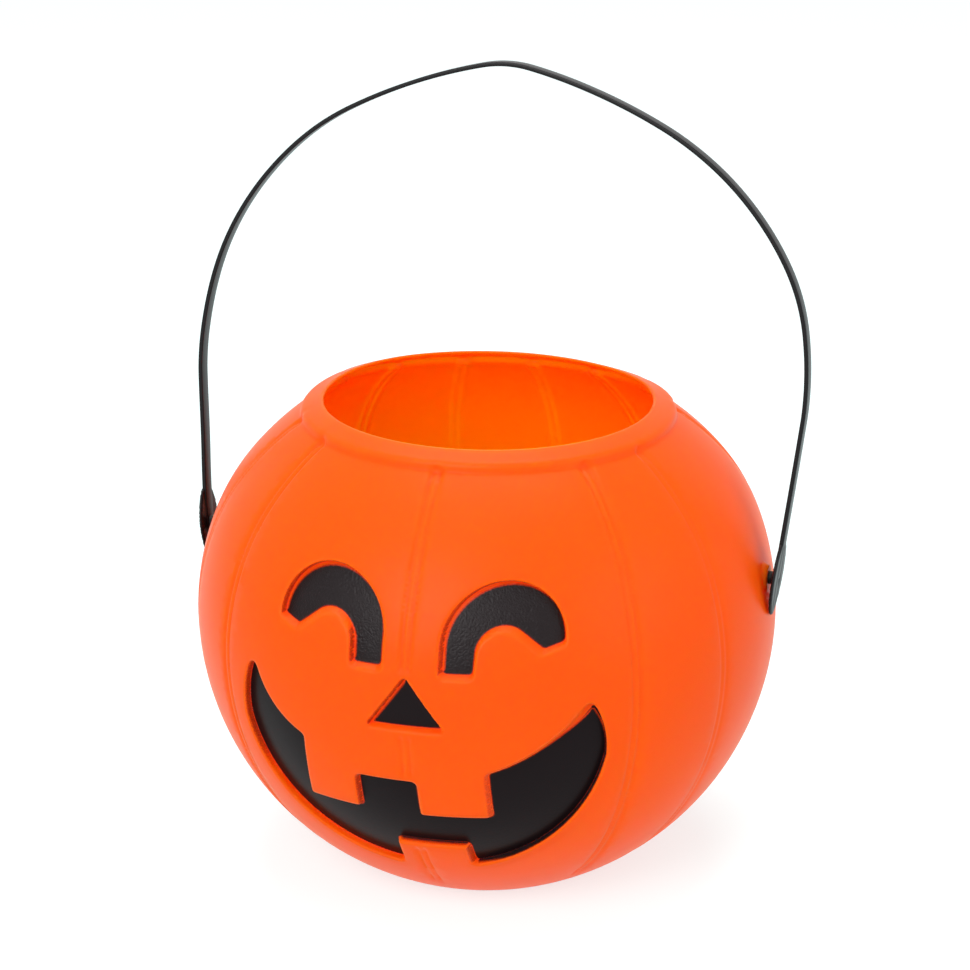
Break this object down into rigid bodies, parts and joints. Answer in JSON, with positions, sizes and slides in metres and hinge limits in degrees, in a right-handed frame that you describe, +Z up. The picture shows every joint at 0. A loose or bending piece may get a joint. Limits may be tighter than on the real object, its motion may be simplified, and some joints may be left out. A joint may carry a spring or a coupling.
{
  "type": "pumpkin candy pail",
  "caption": "Round open pail shaped like a pumpkin, with panel grooves, a recessed painted face, a rolled collar and a swinging strap handle for carrying sweets.",
  "frame": {"origin": "middle of the pail's base, on the surface it stands on", "axes": "+Z is up, the face looks along -Y, and the handle's hinge line runs along X"},
  "size_m": [0.22, 0.1998, 0.2773],
  "materials": {
    "shell_plastic": "orange, semi-gloss, as moulded",
    "strap_plastic": "black, satin, as moulded",
    "face_paint": "sprayed black"
  },
  "bodies": {
    "pail": {"pail_shell": "shell_plastic", "left_eye_paint": "face_paint", "right_eye_paint": "face_paint", "nose_paint": "face_paint", "mouth_paint": "face_paint"},
    "handle": {"handle_strap": "strap_plastic"}
  },
  "joints": [
    {"name": "handle_swing", "type": "hinge", "parent": "pail", "child": "handle", "pos_m": [0, 0, 0.1095], "axis": [1, 0, 0], "range_deg": [-120, 134]}
  ]
}
